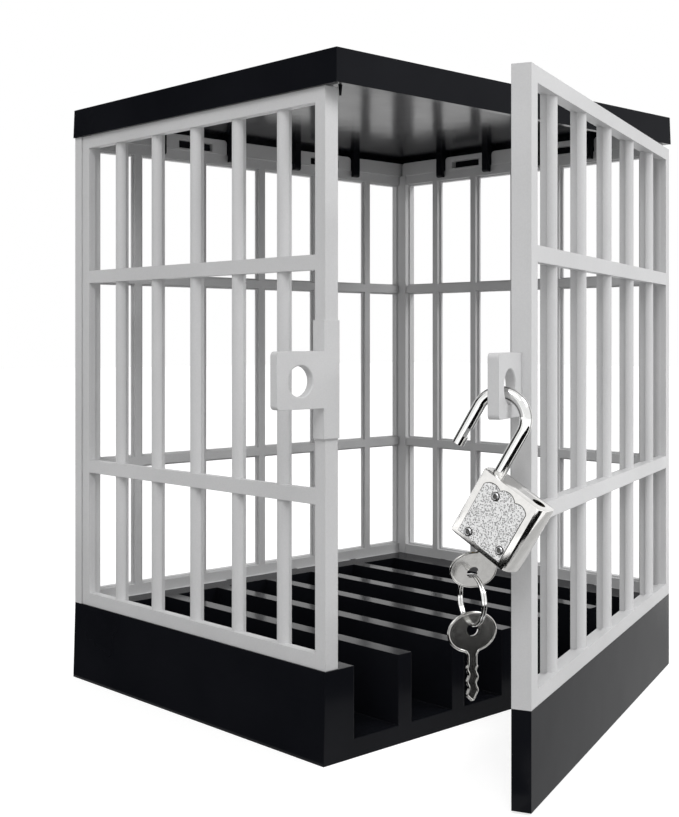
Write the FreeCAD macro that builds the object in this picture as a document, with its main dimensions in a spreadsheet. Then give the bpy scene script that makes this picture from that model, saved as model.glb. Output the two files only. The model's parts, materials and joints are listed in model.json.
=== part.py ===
import FreeCAD, Part
import math
import os
import re

# A barred phone cage with a padlocked door. Millimetres, +Z up, X to the right along the door side,
# Y from the door side to the back. The origin is the middle of the base's underside.

DOC = FreeCAD.newDocument("barred_phone_cage")
SHEET = DOC.addObject("Spreadsheet::Sheet", "Dims")
VEC = FreeCAD.Vector
ROT = FreeCAD.Rotation
PLACE = FreeCAD.Placement
UP = VEC(0, 0, 1)

SIZES = {
    # cage
    "roof_length": 150.0, "roof_depth": 130.0, "total_height": 185.0, "roof_skirt": 9.0,
    "roof_wall": 2.2, "roof_top": 2.2, "roof_draft": 0.25, "side_inset": 0.6, "back_inset": 0.2,
    "base_height": 24.3, "base_setback": 5.1, "seam_gap": 0.2,
    # phone bays in the base
    "bay_count": 6, "bay_width": 16.3, "divider": 5.0, "left_ledge": 10.0, "bay_floor": 5.0,
    "floor_thick": 2.0, "under_rib": 2.0, "divider_skin": 1.6, "rear_ledge": 12.6,
    "ledge_skin": 1.8, "ledge_void_top": 16.0,
    # barred panels
    "side_thick": 4.4, "back_thick": 3.8, "side_post": 4.0, "panel_post": 4.8, "rail_tall": 4.0,
    "low_rail_z": 67.2, "high_rail_z": 128.4, "bar_count": 5, "bar_wide": 4.2, "bar_sink": 0.5,
    "bar_rib": 2.6, "bar_back": 0.4, "side_bar_pitch": 20.2, "panel_bar_pitch": 26.3,
    "post_setback": 0.5, "panel_inset": 0.4, "front_layer": 2.4, "frame_step": 0.5,
    # snap tabs on the panels and the places that hold them
    "tab_out": 2.0, "tab_thick": 2.2, "tab_tall": 5.1, "tab_count": 5, "tab_gap": 3.0,
    "tab_end": 1.6, "tab_play": 0.2, "tab_round": 1.4, "slot_wide": 14.0, "slot_tall": 2.6,
    "slot_lift": 0.6,
    "snap_play": 0.4, "snap_reach": 1.2, "roof_rib_deep": 4.4, "gusset_wide": 2.8,
    "gusset_deep": 1.8, "gusset_drop": 2.6, "gusset_round": 0.9,
    # door and hinge
    "door_thick": 4.9, "door_gap": 1.6, "door_lift": 0.6, "door_over": 0.4, "open_angle": 21.8,
    "pin_radius": 0.75, "pin_play": 0.05,
    "pin_grip": 8.0, "lug_radius": 1.45, "lug_neck": 2.4, "lug_drop": 4.8, "lug_tall": 2.6,
    "lug_play": 0.2, "boss_side": 4.6, "skirt_wall": 1.2, "skirt_solid_end": 12.0,
    "tenon_long": 6.0, "tenon_thick": 2.0, "tenon_tall": 4.0, "tenon_play": 0.1,
    # hasp ears
    "ear_reach": 16.0, "ear_tall": 14.8, "ear_middle": 99.85, "ear_hole": 4.0, "ear_hole_drop": 0.3,
    "ear_hole_out": 8.2, "left_ear_thick": 2.5, "door_ear_thick": 2.6, "ear_corner": 1.2,
    "hole_chamfer": 0.25, "sleeve_tall": 30.8, "sleeve_over": 0.8, "sleeve_inside": 0.1,
    "sleeve_deep": 4.4,
    # padlock shackle
    "leg_half_gap": 6.0, "rod_radius": 1.45, "free_leg": 10.3, "long_leg_out": 10.9,
    "long_leg_in": 7.2, "hang_angle": 30.3, "hang_play": 0.12, "hang_shift": 0.4, "notch_deep": 0.8,
    "notch_low": 2.35, "notch_tall": 2.2, "groove_radius": 1.0, "groove_drop": 0.15,
    "groove_tall": 0.9, "clip_play": 0.05, "clip_radius": 1.85,
    # padlock case
    "case_wide": 18.0, "case_tall": 16.4, "case_thick": 8.0, "case_round": 2.1, "leg_offset": 2.8,
    "case_wall": 0.9, "case_swing": 12.0, "lip_inset": 2.5, "pocket_half": 2.5,
    "plate_thick": 0.8, "plate_inset": 2.0, "plate_short": 0.4,
    "plate_corner": 0.5, "plate_raise": 0.25, "plate_margin": 0.75,
    "guide_wall": 0.6, "rivet_radius": 0.6, "rivet_head": 1.1, "rivet_proud": 0.3,
    # cylinder, latch and keys
    "barrel_radius": 3.0, "barrel_tall": 10.2, "plug_radius": 2.4, "plug_rise": 0.8,
    "key_thick": 0.9, "blade_wide": 3.2, "blade_long": 10.6, "keyway_play": 0.15,
    "bow_half_wide": 6.4, "bow_half_tall": 4.65, "bow_hole": 1.45, "bow_hole_up": -0.6,
    "bow_drop": 0.6, "unlock_angle": 66.0, "tang_radius": 0.6, "tang_throw": 1.12,
    "wafer_count": 4, "wafer_thick": 0.6, "wafer_pitch": 1.9, "wafer_first": 2.4,
    "wafer_wide": 2.6, "wafer_tall": 3.9, "wafer_play": 0.06,
    "bolt_drop": 0.15, "bolt_tall": 1.8, "bolt_wide": 4.8, "bolt_tail": 4.2,
    "bolt_back_off": 0.4, "bolt_pocket": 2.0, "bolt_pocket_off": 1.0, "bolt_pocket_radius": 0.7,
    # springs and key ring
    "spring_wire": 0.2, "ring_wire": 0.34, "ring_radius": 5.66, "ring_step": 0.64,
    "spring_turns": 5, "latch_turns": 4, "latch_wire": 0.1, "latch_coil": 0.45,
}


def fill_sheet():
    for row, (alias, value) in enumerate(SIZES.items(), start=1):
        SHEET.set("A%d" % row, alias)
        SHEET.set("B%d" % row, str(value))
        SHEET.setAlias("B%d" % row, alias)
    DOC.recompute()


def size(alias):
    return float(SHEET.get(alias))


def expr(text):
    # A formula in words becomes one that reads the sheet.
    return re.sub(r"[a-z][a-z_]*", lambda m: "Dims." + m.group() if m.group() in SIZES else m.group(),
                  str(text))


def bind(obj, prop, text):
    obj.setExpression(prop, expr(text))


def seat(obj, where):
    for axis, text in zip("xyz", where):
        bind(obj, "Placement.Base." + axis, text)
    return obj


def box(corner, sizes):
    obj = DOC.addObject("Part::Box", "block")
    for prop, text in zip(("Length", "Width", "Height"), sizes):
        bind(obj, prop, text)
    return seat(obj, corner)


def rod(foot, radius, length, along=UP, angle=360, start=0):
    # A cylinder from its foot along one axis; a partial one starts at an angle about its own axis.
    obj = DOC.addObject("Part::Cylinder", "rod")
    obj.Placement = PLACE(VEC(), ROT(UP, along) * ROT(UP, start))
    obj.Angle = angle
    bind(obj, "Radius", radius)
    bind(obj, "Height", length)
    return seat(obj, foot)


def fuse(shapes):
    if len(shapes) == 1:
        return shapes[0]
    obj = DOC.addObject("Part::MultiFuse", "joined")
    obj.Shapes = shapes
    obj.Refine = True
    return obj


def cut(base, tools):
    obj = DOC.addObject("Part::Cut", "cut")
    obj.Base = base
    obj.Tool = fuse(tools)
    obj.Refine = True
    return obj


def round_edges(base, radius, pick):
    # Rounds the edges whose ends pass the test.
    DOC.recompute()
    obj = DOC.addObject("Part::Fillet", "rounded")
    obj.Base = base
    edges = []
    for number, edge in enumerate(base.Shape.Edges, start=1):
        if len(edge.Vertexes) == 2 and pick(edge.Vertexes[0].Point, edge.Vertexes[1].Point):
            edges.append((number, size(radius), size(radius)))
    obj.Edges = edges
    return obj


def flared(low, high, foot, top):
    # A block whose four sides lean. low and high hold x and y limits of its lower and upper face.
    obj = DOC.addObject("Part::Wedge", "flared")
    obj.Placement = PLACE(VEC(), ROT(VEC(1, 0, 0), 90))
    for prop, text in (("Ymin", foot), ("Ymax", top), ("Xmin", low[0]), ("Xmax", low[1]),
                       ("X2min", high[0]), ("X2max", high[1]), ("Zmin", "-1 * (%s)" % low[3]),
                       ("Zmax", "-1 * (%s)" % low[2]), ("Z2min", "-1 * (%s)" % high[3]),
                       ("Z2max", "-1 * (%s)" % high[2])):
        bind(obj, prop, text)
    return obj


def funnel(foot, narrow, wide, length, along):
    # A cone that widens from its foot along one axis.
    obj = DOC.addObject("Part::Cone", "funnel")
    obj.Placement = PLACE(VEC(), ROT(UP, along))
    bind(obj, "Radius1", narrow)
    bind(obj, "Radius2", wide)
    bind(obj, "Height", length)
    return seat(obj, foot)


def bore_ring(foot, outer, inner, length, along=UP):
    return cut(rod(foot, outer, length, along), [rod(foot, inner, length, along)])


PARTS = []


def piece(label, obj, where=None, formula=None):
    # Names a finished sub-part and gives it its place.
    obj.Label = label
    if where is not None:
        obj.Placement = where
    if formula is not None:
        seat(obj, formula)
    PARTS.append(obj)
    return obj


fill_sheet()

# Lengths that several pieces share
SKIRT_Z = "(total_height - roof_skirt)"
SIDE_X = "(roof_length / 2 - side_inset)"
BASE_FRONT = "(base_setback - roof_depth / 2)"
BASE_BACK = "(roof_depth / 2 - back_inset)"
PANEL_LEN = "(roof_length - 2 * side_inset)"
SIDE_FACE = "(" + SIDE_X + " - panel_inset)"
BACK_INNER = "(" + BASE_BACK + " - back_thick)"
SIDE_LEN = "(" + BACK_INNER + " - seam_gap - " + BASE_FRONT + " - post_setback)"
DOOR_TOP = "(" + SKIRT_Z + " - door_gap)"
DOOR_THICK = "door_thick"
DOOR_LEN = "(" + PANEL_LEN + " + door_over)"
BAY_DEPTH = "(" + BASE_BACK + " - " + BASE_FRONT + " - rear_ledge)"
LUG_LOW = "(base_height - lug_drop)"
EAR_HOLE_Z = "(ear_middle - ear_hole_drop)"


def bars(length, thick, pitch, low, high):
    # Upright bars, each a half-round front on a narrower rib behind it.
    shapes = []
    for index in range(int(size("bar_count"))):
        middle = "(%s / 2 + (%d - (bar_count - 1) / 2) * %s)" % (length, index, pitch)
        front = "(bar_sink + bar_wide / 2)"
        shapes.append(rod((middle, front, low), "bar_wide / 2", "%s - %s" % (high, low), UP, 180, 180))
        shapes.append(box((middle + " - bar_rib / 2", front + " - 0.01", low),
                          ("bar_rib", "%s - bar_back - %s + 0.01" % (thick, front),
                           "%s - %s" % (high, low))))
    return shapes


def post_block(start, post, thick, low, high, step_left, step_right):
    # An upright whose back layer is narrower on the window side.
    tall = "%s - %s" % (high, low)
    return [box((start, "0", low), (post, "front_layer", tall)),
            box(("%s + %s" % (start, step_left), "front_layer - 0.1", low),
                ("%s - %s - %s" % (post, step_left, step_right), "%s - front_layer + 0.1" % thick, tall))]


def rails(start, length, thick, low, high):
    # Four rails, their back layer narrower on the window sides. The outer face lies at y = 0.
    shapes = []
    feet = ((low, "0", "frame_step"), ("low_rail_z", "frame_step", "frame_step"),
            ("high_rail_z", "frame_step", "frame_step"), ("(%s - rail_tall)" % high, "frame_step", "0"))
    for foot, under, over in feet:
        shapes.append(box((start, "0", foot), (length, "front_layer", "rail_tall")))
        shapes.append(box((start, "front_layer - 0.1", "%s + %s" % (foot, under)),
                          (length, "%s - bar_back - front_layer + 0.1" % thick,
                           "rail_tall - %s - %s" % (under, over))))
    return shapes


def frame(length, thick, post, low, high):
    # Two posts and four rails.
    shapes = post_block("0", post, thick, low, high, "0", "frame_step")
    shapes += post_block("(%s - %s)" % (length, post), post, thick, low, high, "frame_step", "0")
    return shapes + rails("0.5", "%s - 1" % length, thick, low, high)


def tab_span(length):
    # Length of one snap tab, and the start of tab number n.
    run = "(%s - 2 * tab_end)" % length
    one = "((%s - (tab_count - 1) * tab_gap) / tab_count)" % run
    return one, lambda n: "(tab_end + %d * (%s + tab_gap))" % (n, one)


def tabs(length, foot, free_end):
    # A row of snap tabs in line with the panel, round at the two corners of their free end, every second
    # one with a slot for its catch.
    one, start = tab_span(length)
    tip = value(free_end)
    shapes = []
    for number in range(int(size("tab_count"))):
        tab = box((start(number), "tab_out", foot), (one, "tab_thick", "tab_tall"))
        tab = round_edges(tab, "tab_round", lambda a, b: abs(a.z - tip) < 0.01 and abs(b.z - tip) < 0.01
                          and abs(a.x - b.x) < 0.01)
        if number % 2:
            slot = box(("%s + (%s - slot_wide) / 2" % (start(number), one), "0",
                        "%s + slot_lift" % foot), ("slot_wide", "tab_out + tab_thick + 1", "slot_tall"))
            tab = cut(tab, [slot])
        shapes.append(tab)
    return shapes


def catches(length, foot, wall):
    # The catches that stand out of a wall into the slots.
    one, start = tab_span(length)
    shapes = []
    for number in range(1, int(size("tab_count")), 2):
        shapes.append(box(("%s + (%s - slot_wide) / 2 + snap_play" % (start(number), one),
                           "%s - 0.2" % wall, "%s + slot_lift + snap_play" % foot),
                          ("slot_wide - 2 * snap_play", "snap_reach + 0.2",
                           "slot_tall - 2 * snap_play")))
    return shapes


BOTTOM_TABS = "(base_height - tab_tall)"


def barred_panel(length, thick, post, pitch):
    shapes = frame(length, thick, post, "base_height", SKIRT_Z)
    shapes += bars(length, thick, pitch, "(base_height + 0.5)", "(%s - 0.5)" % SKIRT_Z)
    shapes += tabs(length, SKIRT_Z, SKIRT_Z + " + tab_tall")
    shapes += tabs(length, BOTTOM_TABS, BOTTOM_TABS)
    return shapes


# Places of the three fixed panels: turn about Z and the corner that it starts from
LEFT_SEAT = (-90, ("-" + SIDE_FACE, BACK_INNER + " - seam_gap", "0"))
RIGHT_SEAT = (90, (SIDE_FACE, BASE_FRONT + " + post_setback", "0"))
BACK_SEAT = (180, (SIDE_X, BASE_BACK, "0"))


def placed(obj, seat_of):
    turn, corner = seat_of
    obj.Placement = PLACE(VEC(), ROT(UP, turn))
    return seat(obj, corner)


def ear_hole(foot, thick, along):
    # The hole through an ear, with a small chamfer at both of its ends.
    middle = [foot[n] if along[n] == 0 else "(%s + (%s) / 2)" % (foot[n], thick) for n in range(3)]
    shapes = []
    for way in (1, -1):
        direction = VEC(*along) * way
        start = [middle[n] if along[n] == 0 else
                 "%s + %d * ((%s) / 2 - hole_chamfer)" % (middle[n], way, thick) for n in range(3)]
        shapes.append(rod(middle, "ear_hole", "(%s) / 2 + 1" % thick, direction))
        shapes.append(funnel(start, "ear_hole", "ear_hole + 2 * hole_chamfer", "2 * hole_chamfer", direction))
    return shapes


def ear_plate(x_from, thick, reach, hole_out):
    # A hasp ear: a plate with a round hole, two rounded outer corners. x is its thickness here.
    plate = box((x_from, "-1 * (%s)" % reach, "ear_middle - ear_tall / 2"),
                (thick, reach + " + 0.5", "ear_tall"))
    edge_y = value(reach)
    plate = round_edges(plate, "ear_corner",
                        lambda a, b: abs(a.y - b.y) < 0.01 and abs(a.z - b.z) < 0.01
                        and abs(a.y + edge_y) < 0.01)
    return cut(plate, ear_hole((x_from, "-1 * (%s)" % hole_out, EAR_HOLE_Z), thick, (1, 0, 0)))


def left_panel():
    shapes = barred_panel(SIDE_LEN, "side_thick", "side_post", "side_bar_pitch")
    front = "(%s + post_setback)" % SIDE_LEN
    shapes.append(box(("%s - sleeve_deep" % front, "-sleeve_over", "ear_middle - sleeve_tall / 2"),
                      ("sleeve_deep", "side_thick + sleeve_over + sleeve_inside", "sleeve_tall")))
    shapes.append(ear_plate("(%s - left_ear_thick)" % front, "left_ear_thick", "(ear_reach + panel_inset)",
                            "(ear_hole_out + panel_inset)"))
    piece("left_panel", placed(fuse(shapes), LEFT_SEAT))


def right_panel():
    shapes = barred_panel(SIDE_LEN, "side_thick", "side_post", "side_bar_pitch")
    piece("right_panel", placed(fuse(shapes), RIGHT_SEAT))


def back_panel():
    shapes = barred_panel(PANEL_LEN, "back_thick", "panel_post", "panel_bar_pitch")
    piece("back_panel", placed(fuse(shapes), BACK_SEAT))


# Each fixed panel's length, place, depth with its tabs and distance inside the roof's edge
SIDE_EDGE = "(side_inset + panel_inset)"
FIXED = ((SIDE_LEN, LEFT_SEAT, "side_thick", SIDE_EDGE), (SIDE_LEN, RIGHT_SEAT, "side_thick", SIDE_EDGE),
         (PANEL_LEN, BACK_SEAT, "(tab_out + tab_thick)", "back_inset"))
HINGE_X = "(%s + door_over - %s / 2)" % (SIDE_X, DOOR_THICK)
DOOR_FRONT = "(%s - seam_gap - %s)" % (BASE_FRONT, DOOR_THICK)
HINGE_Y = "(%s + %s / 2)" % (DOOR_FRONT, DOOR_THICK)


def under_side(first):
    # The recess under the floor, in four fields between a cross of ribs, and the hollow dividers.
    skin = "ledge_skin"
    rib = "(under_rib / 2)"
    front = "(%s + %s)" % (BASE_FRONT, skin)
    back = "(%s - %s)" % (BASE_BACK, skin)
    wide = "(%s - %s - %s)" % (SIDE_X, skin, rib)
    tools = []
    for left in ("(-%s + %s)" % (SIDE_X, skin), rib):
        tools.append(box((left, front, "-1"), (wide, "-%s - %s" % (rib, front),
                                              "bay_floor - floor_thick + 1")))
        tools.append(box((left, rib, "-1"), (wide, "%s - %s" % (back, rib),
                                            "bay_floor - floor_thick + 1")))
    for number in range(1, int(size("bay_count"))):
        tools.append(box(("%s + %d * (bay_width + divider) - divider + divider_skin"
                          % (first, number), front, "bay_floor - floor_thick - 0.1"),
                         ("divider - 2 * divider_skin", BAY_DEPTH + " - 2 * " + skin,
                          "base_height - bay_floor + floor_thick + 0.1 - " + skin)))
    return tools


def base_tray():
    block = flared(("-roof_length / 2", "roof_length / 2", BASE_FRONT, "roof_depth / 2"),
                   ("-1 * " + SIDE_X, SIDE_X, BASE_FRONT, BASE_BACK), "0", "base_height")
    tools = []
    first = "(-%s + left_ledge)" % SIDE_X
    for number in range(int(size("bay_count"))):
        tools.append(box(("%s + %d * (bay_width + divider)" % (first, number), BASE_FRONT + " - 1",
                          "bay_floor"), ("bay_width", BAY_DEPTH + " + 1", "base_height")))
    last = "(%s + bay_count * (bay_width + divider) - divider)" % first
    skin = "ledge_skin"
    deep = "(%s - %s - 2 * %s)" % (BASE_BACK, BASE_FRONT, skin)
    tools.append(box(("-%s + %s" % (SIDE_X, skin), "%s + %s" % (BASE_FRONT, skin), "-1"),
                     ("left_ledge - 2 * " + skin, deep, "ledge_void_top + 1")))
    tools.append(box((last + " + " + skin, "%s + %s" % (BASE_FRONT, skin), "-1"),
                     ("%s - %s - 2 * %s" % (SIDE_X, last, skin), deep, "ledge_void_top + 1")))
    tools.append(box((first, "%s - rear_ledge + %s" % (BASE_BACK, skin), "-1"),
                     ("%s - %s" % (last, first), "rear_ledge - 2 * " + skin, "ledge_void_top + 1")))
    tools += under_side(first)
    for length, place, depth, edge in FIXED:
        one, start = tab_span(length)
        for number in range(int(size("tab_count"))):
            pocket = box(("%s - tab_play" % start(number), "tab_out - tab_play",
                          BOTTOM_TABS + " - tab_play"),
                         (one + " + 2 * tab_play", "tab_thick + 2 * tab_play", "tab_tall + 5"))
            tools.append(place_in(pocket, place))
    body = cut(block, tools)
    extras = []
    for length, place, depth, edge in FIXED:
        for catch in catches(length, BOTTOM_TABS, "(tab_out - tab_play)"):
            extras.append(place_in(catch, place))
    lug = fuse([rod((HINGE_X, HINGE_Y, LUG_LOW), "lug_radius", "lug_tall"),
                box((HINGE_X + " - lug_neck / 2", HINGE_Y, LUG_LOW),
                    ("lug_neck", "%s - %s + 1" % (BASE_FRONT, HINGE_Y), "lug_tall"))])
    joined = fuse([body] + extras + [lug])
    piece("base_tray", cut(joined, [rod((HINGE_X, HINGE_Y, LUG_LOW + " - 1"), "pin_radius + pin_play",
                                        "lug_tall + 2")]))


def place_in(obj, place):
    # Wraps a shape drawn on a panel in a link that carries the panel's place.
    DOC.recompute()
    turn, corner = place
    holder = DOC.addObject("Part::Compound", "held")
    holder.Links = [obj]
    holder.Placement = PLACE(VEC(), ROT(UP, turn))
    return seat(holder, corner)


def gusset(middle, depth):
    # A block under the roof that holds the top rail of a panel from inside, round at its lower corner.
    foot = "(%s - gusset_drop)" % SKIRT_Z
    block = box(("%s - gusset_wide / 2" % middle, "%s + seam_gap" % depth, foot),
                ("gusset_wide", "gusset_deep", "roof_skirt - roof_top + gusset_drop + 0.2"))
    low = value(foot)
    inner = value("(%s + seam_gap + gusset_deep)" % depth)
    return round_edges(block, "gusset_round", lambda a, b: abs(a.z - low) < 0.01 and abs(b.z - low) < 0.01
                       and abs(a.y - inner) < 0.01 and abs(b.y - inner) < 0.01)


def roof_lid():
    full = ("-roof_length / 2", "roof_length / 2", "-roof_depth / 2", "roof_depth / 2")
    drawn_in = ("roof_draft - roof_length / 2", "roof_length / 2 - roof_draft",
                "roof_draft - roof_depth / 2", "roof_depth / 2 - roof_draft")
    shell = flared(full, drawn_in, SKIRT_Z, "total_height")
    hollow = box(("-roof_length / 2 + roof_wall", "-roof_depth / 2 + roof_wall", SKIRT_Z + " - 1"),
                 ("roof_length - 2 * roof_wall", "roof_depth - 2 * roof_wall",
                  "roof_skirt - roof_top + 1"))
    shapes = [cut(shell, [hollow])]
    rib_foot = "(%s + 2 * tab_play)" % SKIRT_Z
    for length, place, depth, edge in FIXED:
        one, start = tab_span(length)
        for number in range(1, int(size("tab_count"))):
            rib = box(("%s - tab_gap + tab_play" % start(number), "roof_wall - %s - 0.2" % edge, rib_foot),
                      ("tab_gap - 2 * tab_play", "roof_rib_deep",
                       "roof_skirt - roof_top - 2 * tab_play + 0.2"))
            shapes.append(place_in(rib, place))
            shapes.append(place_in(gusset("(%s - tab_gap / 2)" % start(number), depth), place))
        for catch in catches(length, SKIRT_Z, "(roof_wall - %s)" % edge):
            shapes.append(place_in(catch, place))
    shapes.append(box((HINGE_X + " - boss_side / 2", "-roof_depth / 2 + 1", SKIRT_Z),
                      ("boss_side", "%s + boss_side / 2 + roof_depth / 2 - 1" % HINGE_Y,
                       "roof_skirt - 1")))
    peg_x = "(-%s + side_thick + 2.2)" % SIDE_X
    peg_y = "(%s + 1.6)" % BASE_FRONT
    peg = DOC.addObject("Part::Cone", "peg")
    peg.Placement = PLACE(VEC(), ROT(VEC(1, 0, 0), 180))
    bind(peg, "Radius1", "1.1")
    bind(peg, "Radius2", "0.3")
    bind(peg, "Height", "roof_skirt - roof_top + 2")
    shapes.append(seat(peg, (peg_x, peg_y, "total_height - roof_top + 0.2")))
    piece("roof_lid", cut(fuse(shapes), [rod((HINGE_X, HINGE_Y, SKIRT_Z + " - 1"),
                                             "pin_radius + pin_play", "pin_grip")]))


# The door is drawn shut, in the cage's own frame, and then turned open about its hinge
def door_pose():
    hinge = VEC(value(HINGE_X), value(HINGE_Y), 0)
    turn = ROT(UP, size("open_angle"))
    return PLACE(hinge - turn.multVec(hinge), turn)


def value(text):
    # The number that a formula in words gives.
    probe = DOC.addObject("App::FeaturePython", "probe")
    probe.addProperty("App::PropertyFloat", "Amount")
    bind(probe, "Amount", text)
    DOC.recompute()
    amount = float(probe.Amount)
    DOC.removeObject(probe.Name)
    return amount


DOOR_IN = "(%s + %s)" % (DOOR_FRONT, DOOR_THICK)


TENONS = ("(2 + tenon_long / 2)", "(%s / 2)" % DOOR_LEN, "(%s - 22)" % DOOR_LEN)


def tenons(play):
    shapes = []
    for middle in TENONS:
        shapes.append(box(("%s - tenon_long / 2 - %s" % (middle, play),
                           "(%s - tenon_thick) / 2 - %s" % (DOOR_THICK, play),
                           "base_height - tenon_tall - %s" % play),
                          ("tenon_long + 2 * " + play, "tenon_thick + 2 * " + play,
                           "tenon_tall + 1 + " + play)))
    return shapes


def pin_hole(foot, length):
    return rod(("%s - %s / 2" % (DOOR_LEN, DOOR_THICK), DOOR_THICK + " / 2", foot), "pin_radius", length)


def hinge_end(foot, tall):
    # The end round the hinge pin: square outside, round about the pin inside.
    radius = DOOR_THICK + " / 2"
    axis = "%s - %s" % (DOOR_LEN, radius)
    return [rod((axis, radius, foot), radius, tall), box((axis, "0", foot), (radius, radius, tall))]


def door_grille():
    low, high = "base_height", DOOR_TOP
    tall = "%s - %s" % (high, low)
    shapes = post_block("0", "panel_post", DOOR_THICK, low, high, "0", "frame_step")
    shapes += post_block("(%s - panel_post)" % DOOR_LEN, "panel_post - %s / 2" % DOOR_THICK, DOOR_THICK,
                         low, high, "frame_step", "0")
    shapes += hinge_end(low, tall)
    shapes += rails("0.5", "%s - 0.5 - panel_post + 0.1" % DOOR_LEN, DOOR_THICK, low, high)
    shapes += bars(DOOR_LEN, DOOR_THICK, "panel_bar_pitch", "(base_height + 0.5)", "(%s - 0.5)" % high)
    shapes += tenons("0")
    start = "(%s - door_ear_thick)" % DOOR_THICK
    ear = box(("-ear_reach", start, "ear_middle - ear_tall / 2"),
              ("ear_reach + 0.5", "door_ear_thick", "ear_tall"))
    reach = size("ear_reach")
    ear = round_edges(ear, "ear_corner", lambda a, b: abs(a.x + reach) < 0.01
                      and abs(b.x + reach) < 0.01 and abs(a.z - b.z) < 0.01)
    shapes.append(cut(ear, ear_hole(("-ear_hole_out", start, EAR_HOLE_Z), "door_ear_thick", (0, 1, 0))))
    body = cut(fuse(shapes), [pin_hole("base_height - 1", "pin_grip + 1"),
                              pin_hole(DOOR_TOP + " - pin_grip", "pin_grip + 1")])
    piece("door_grille", body, door_corner_pose())


def door_corner_pose():
    # For a piece that is drawn from the door's own lower corner.
    pose = door_pose()
    corner = PLACE(VEC(-value(SIDE_X), value(DOOR_FRONT), 0), ROT())
    return pose.multiply(corner)


def door_skirt():
    radius = DOOR_THICK + " / 2"
    tall = "(base_height - door_lift)"
    hinge_x = "(%s - %s)" % (DOOR_LEN, radius)
    outer = fuse([box(("0", "0", "door_lift"), (hinge_x, DOOR_THICK, tall))] + hinge_end("door_lift", tall))
    under = box(("skirt_wall", "skirt_wall", "door_lift - 1"),
                ("%s - 2 * skirt_wall - skirt_solid_end" % DOOR_LEN,
                 DOOR_THICK + " - 2 * skirt_wall", "base_height - tenon_tall - 3"))
    room = "(lug_radius + lug_play)"
    low = "(%s - lug_play)" % LUG_LOW
    tall_room = "(lug_tall + 2 * lug_play)"
    clear = [under,
             rod((hinge_x, radius, low), room, tall_room),
             box((hinge_x + " - " + room, radius, low), (room + " + 9", DOOR_THICK, tall_room)),
             box((hinge_x, radius + " - " + room, low), ("9", DOOR_THICK, tall_room)),
             pin_hole(LUG_LOW + " - pin_grip / 2", "base_height")]
    body = cut(outer, clear + tenons("tenon_play"))
    piece("door_skirt", body, door_corner_pose())


def hinge_pins():
    # Each pin is gripped in the door and turns in the roof boss or in the base lug.
    lower = rod((HINGE_X, HINGE_Y, LUG_LOW + " - pin_grip / 2"), "pin_radius",
                "lug_drop + pin_grip * 1.5")
    upper = rod((HINGE_X, HINGE_Y, DOOR_TOP + " - pin_grip"), "pin_radius",
                "pin_grip + door_gap + pin_grip - 2")
    for label, pin in (("hinge_pin_lower", lower), ("hinge_pin_upper", upper)):
        piece(label, held(pin), door_pose())


# The padlock is drawn upright with the middle of its shackle's bow at the origin: x from the free leg
# to the long leg, y away from the free end of the door, z up. It then hangs in the door's ear.
ARC_IN = "(leg_half_gap - rod_radius)"
PLATES = "(left_ear_thick + seam_gap + door_ear_thick)"


def lock_pose():
    angle = math.radians(size("hang_angle"))
    right = VEC(0, -math.cos(angle), -math.sin(angle))
    upward = VEC(0, -math.sin(angle), math.cos(angle))
    turn = ROT(right, VEC(1, 0, 0), upward, "ZXY")
    far = value(PLATES) / 2 + size("hang_shift")
    inner = value(ARC_IN)
    drop = math.sqrt(inner * inner - far * far)
    bow = VEC(-value(SIDE_X) - size("ear_hole_out"), value(DOOR_IN) + size("seam_gap")
              + size("left_ear_thick") - far,
              value(EAR_HOLE_Z) - size("ear_hole") - drop + size("hang_play"))
    return door_pose().multiply(PLACE(bow, turn))


def case_pose():
    # The case and all that it holds stand turned a little about the long leg.
    leg = VEC(size("leg_half_gap"), 0, 0)
    turn = ROT(UP, -size("case_swing"))
    return lock_pose().multiply(PLACE(leg - turn.multVec(leg), turn))


def held(obj):
    holder = DOC.addObject("Part::Compound", "held")
    holder.Links = [obj]
    return holder


def lock_piece(label, obj):
    return piece(label, held(obj), lock_pose())


def case_piece(label, obj):
    return piece(label, held(obj), case_pose())


CASE_TOP = "(-long_leg_out)"
CASE_LEFT = "(leg_half_gap - leg_offset)"
CASE_FOOT = "(-long_leg_out - case_tall)"
PLUG_X = "(%s + case_wide / 2)" % CASE_LEFT
SOCKET_X = "(3 * leg_half_gap)"
INNER_Y = "(case_thick / 2 - plate_thick)"


def shackle():
    bow = DOC.addObject("Part::Torus", "bow")
    bow.Placement = PLACE(VEC(), ROT(VEC(1, 0, 0), 90))
    bow.Angle3 = 180
    bind(bow, "Radius1", "leg_half_gap")
    bind(bow, "Radius2", "rod_radius")
    free = rod(("-leg_half_gap", "0", "-free_leg"), "rod_radius", "free_leg")
    free = cut(free, [box(("-leg_half_gap + rod_radius - notch_deep", "-rod_radius - 1",
                           "-free_leg + notch_low"), ("4", "2 * rod_radius + 2", "notch_tall"))])
    groove = "(-long_leg_out - case_wall - groove_drop)"
    upper = rod(("leg_half_gap", "0", groove), "rod_radius", "-" + groove)
    neck = rod(("leg_half_gap", "0", groove + " - groove_tall - 0.1"), "groove_radius",
               "groove_tall + 0.2")
    heel = "(-long_leg_out - long_leg_in)"
    lower = rod(("leg_half_gap", "0", heel), "rod_radius", "%s - groove_tall - %s" % (groove, heel))
    lock_piece("shackle", fuse([bow, free, upper, neck, lower]))


def heel_clip():
    top = "(-long_leg_out - case_wall - groove_drop - clip_play)"
    tall = "(groove_tall - 2 * clip_play)"
    ring = bore_ring(("leg_half_gap", "0", "%s - %s" % (top, tall)), "clip_radius",
                     "groove_radius + clip_play", tall)
    mouth = box(("leg_half_gap - 0.8", "0", "%s - %s - 1" % (top, tall)), ("1.6", "4", tall + " + 2"))
    lock_piece("heel_clip", cut(ring, [mouth]))


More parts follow.
